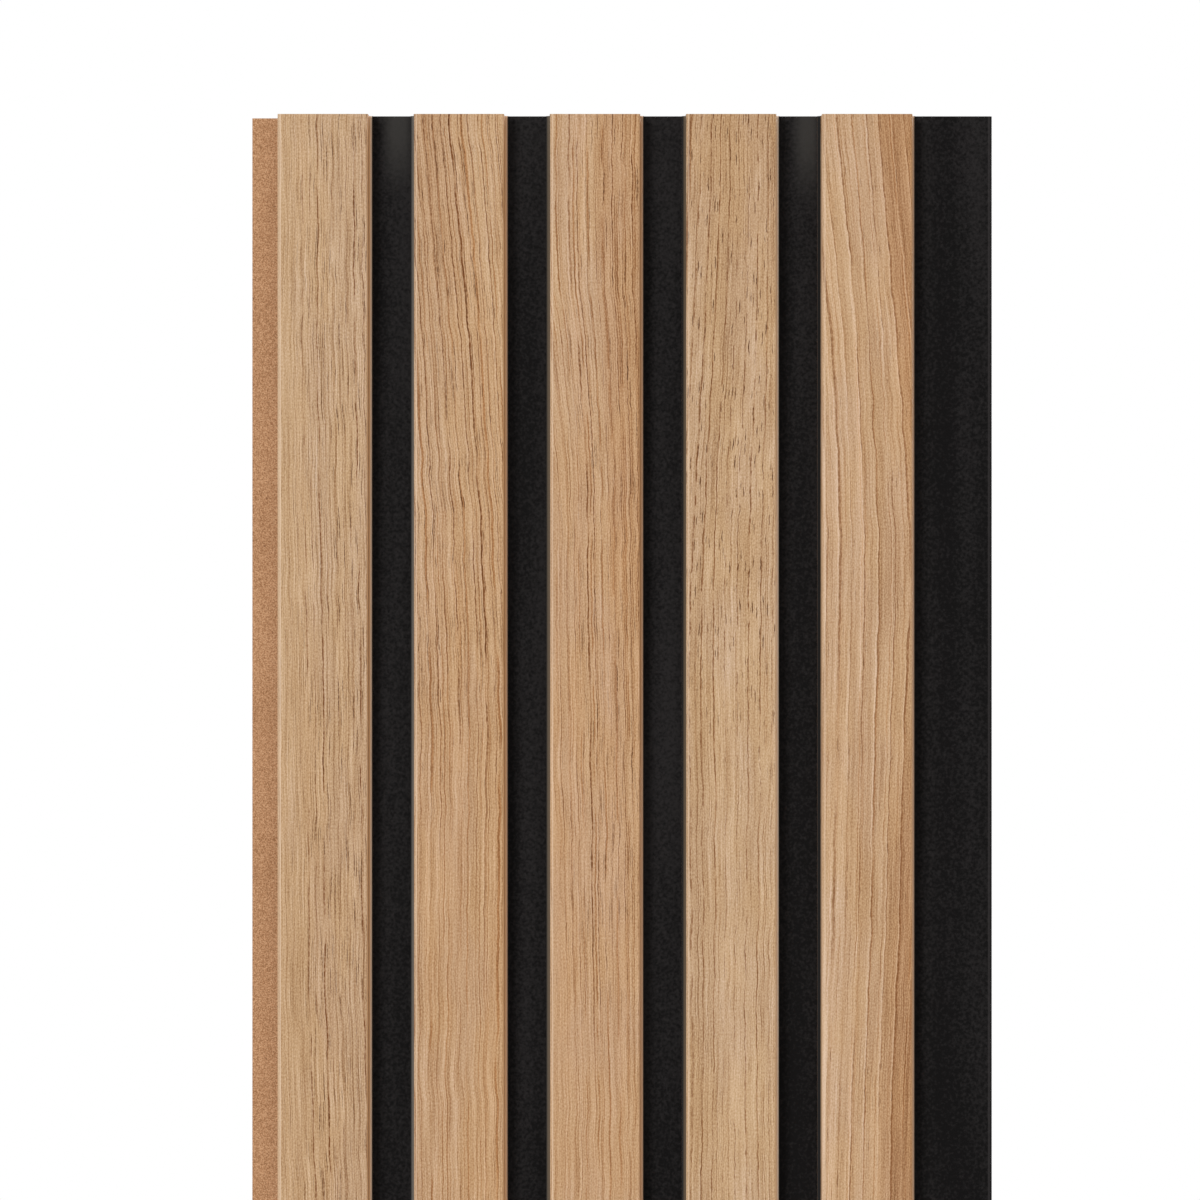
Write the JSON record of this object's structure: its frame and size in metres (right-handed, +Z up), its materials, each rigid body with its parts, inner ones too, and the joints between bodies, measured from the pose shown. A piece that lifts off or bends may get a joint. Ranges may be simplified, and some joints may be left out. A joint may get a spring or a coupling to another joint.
{
  "type": "slat wall panel",
  "caption": "Ship-lap wall panel with oak-foil slats on a black-faced MDF board, a bare lip along one long edge and a black tongue along the other.",
  "frame": {"origin": "middle of the panel's back, in height and behind the middle slat", "axes": "+X across the panel from the lip to the tongue, +Y into the wall so that the slats face -Y, +Z up along the slats"},
  "size_m": [0.2188, 0.012, 2.6],
  "materials": {
    "mdf": "bare, fine fibre",
    "black_foil": "satin",
    "oak_foil": "matt oak grain print, embossed pores"
  },
  "bodies": {
    "root": {"base_board": "mdf", "black_facing": "black_foil", "slat_core_1": "mdf", "slat_core_2": "mdf", "slat_core_3": "mdf", "slat_core_4": "mdf", "slat_core_5": "mdf", "slat_foil_1": "oak_foil", "slat_foil_2": "oak_foil", "slat_foil_3": "oak_foil", "slat_foil_4": "oak_foil", "slat_foil_5": "oak_foil"}
  },
  "joints": []
}
